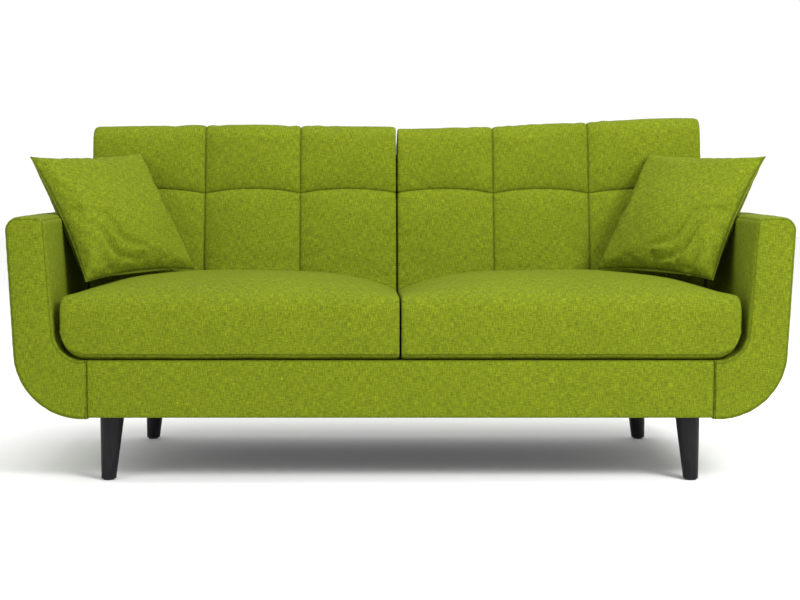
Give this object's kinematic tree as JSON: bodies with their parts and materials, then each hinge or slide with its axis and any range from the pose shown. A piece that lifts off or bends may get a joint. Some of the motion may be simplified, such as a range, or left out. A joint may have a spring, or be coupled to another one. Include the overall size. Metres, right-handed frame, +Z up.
{
  "type": "three-seat sofa",
  "caption": "Three-seat sofa with J-shaped padded arms, loose seat and back cushions, two throw pillows and round tapered splayed legs.",
  "frame": {"origin": "on the floor, under the middle of the sofa's box", "axes": "+X along the seat towards the sofa's right-hand end as seen from the front, -Y towards the front, +Z up"},
  "size_m": [1.9, 0.84, 0.903],
  "materials": {
    "cover_fabric": "heathered lime green linen-look weave",
    "deck_fabric": "plain lime green platform cloth",
    "zip_tape": "woven zip tape with a nylon coil",
    "foam": "open-cell polyurethane foam in wadding",
    "felt": "needled felt",
    "webbing": "elastic woven webbing",
    "dust_cloth": "black non-woven cloth",
    "frame_wood": "planed pine",
    "frame_plywood": "raw birch plywood",
    "leg_wood": "satin black stained and lacquered beech",
    "spring_steel": "drawn spring wire",
    "zinc_steel": "zinc plated",
    "glide_plastic": "black nylon"
  },
  "bodies": {
    "frame": {"left_arm_cover": "cover_fabric", "right_arm_cover": "cover_fabric", "left_arm_front_panel": "frame_plywood", "right_arm_front_panel": "frame_plywood", "left_arm_rear_panel": "frame_plywood", "right_arm_rear_panel": "frame_plywood", "left_arm_top_rail": "frame_wood", "right_arm_top_rail": "frame_wood", "left_arm_side_rail": "frame_wood", "right_arm_side_rail": "frame_wood", "left_arm_outer_rail": "frame_wood", "right_arm_outer_rail": "frame_wood", "left_arm_curved_board": "frame_plywood", "right_arm_curved_board": "frame_plywood", "front_rail_cover": "cover_fabric", "front_seat_rail": "frame_wood", "rear_seat_rail": "frame_wood", "centre_seat_rail": "frame_wood", "corner_blocks": "frame_wood", "arm_bolts": "zinc_steel", "seat_springs": "spring_steel", "spring_clips": "zinc_steel", "tie_wires": "spring_steel", "deck_felt": "felt", "deck_cover": "deck_fabric", "dust_cover": "dust_cloth", "back_posts": "frame_wood", "back_end_panels": "frame_plywood", "back_top_rail": "frame_wood", "back_lower_rails": "frame_wood", "back_webbing": "webbing", "inside_back_cover": "cover_fabric", "outside_back_cover": "cover_fabric", "front_left_leg": "leg_wood", "front_right_leg": "leg_wood", "rear_left_leg": "leg_wood", "rear_right_leg": "leg_wood", "leg_glides": "glide_plastic", "leg_plates": "zinc_steel", "hanger_bolts": "zinc_steel"},
    "left_seat_cushion": {"left_seat_cushion_cover": "cover_fabric", "left_seat_cushion_core": "foam", "left_seat_cushion_zip": "zip_tape"},
    "left_back_cushion": {"left_back_cushion_cover": "cover_fabric", "left_back_cushion_core": "foam", "left_back_cushion_zip": "zip_tape"},
    "left_pillow": {"left_pillow_cover": "cover_fabric", "left_pillow_insert": "foam", "left_pillow_zip": "zip_tape"},
    "right_seat_cushion": {"right_seat_cushion_cover": "cover_fabric", "right_seat_cushion_core": "foam", "right_seat_cushion_zip": "zip_tape"},
    "right_back_cushion": {"right_back_cushion_cover": "cover_fabric", "right_back_cushion_core": "foam", "right_back_cushion_zip": "zip_tape"},
    "right_pillow": {"right_pillow_cover": "cover_fabric", "right_pillow_insert": "foam", "right_pillow_zip": "zip_tape"}
  },
  "joints": [
    {"name": "left_seat_cushion_lift", "type": "slide", "parent": "frame", "child": "left_seat_cushion", "axis": [0, 0, 1], "range_m": [0, 0.3]},
    {"name": "left_back_cushion_lift", "type": "slide", "parent": "frame", "child": "left_back_cushion", "axis": [0, 0.23, 0.9732], "range_m": [0, 0.3]},
    {"name": "left_pillow_lift", "type": "slide", "parent": "left_seat_cushion", "child": "left_pillow", "axis": [0, 0, 1], "range_m": [0, 0.25]},
    {"name": "right_seat_cushion_lift", "type": "slide", "parent": "frame", "child": "right_seat_cushion", "axis": [0, 0, 1], "range_m": [0, 0.3]},
    {"name": "right_back_cushion_lift", "type": "slide", "parent": "frame", "child": "right_back_cushion", "axis": [0, 0.23, 0.9732], "range_m": [0, 0.3]},
    {"name": "right_pillow_lift", "type": "slide", "parent": "right_seat_cushion", "child": "right_pillow", "axis": [0, 0, 1], "range_m": [0, 0.25]}
  ]
}
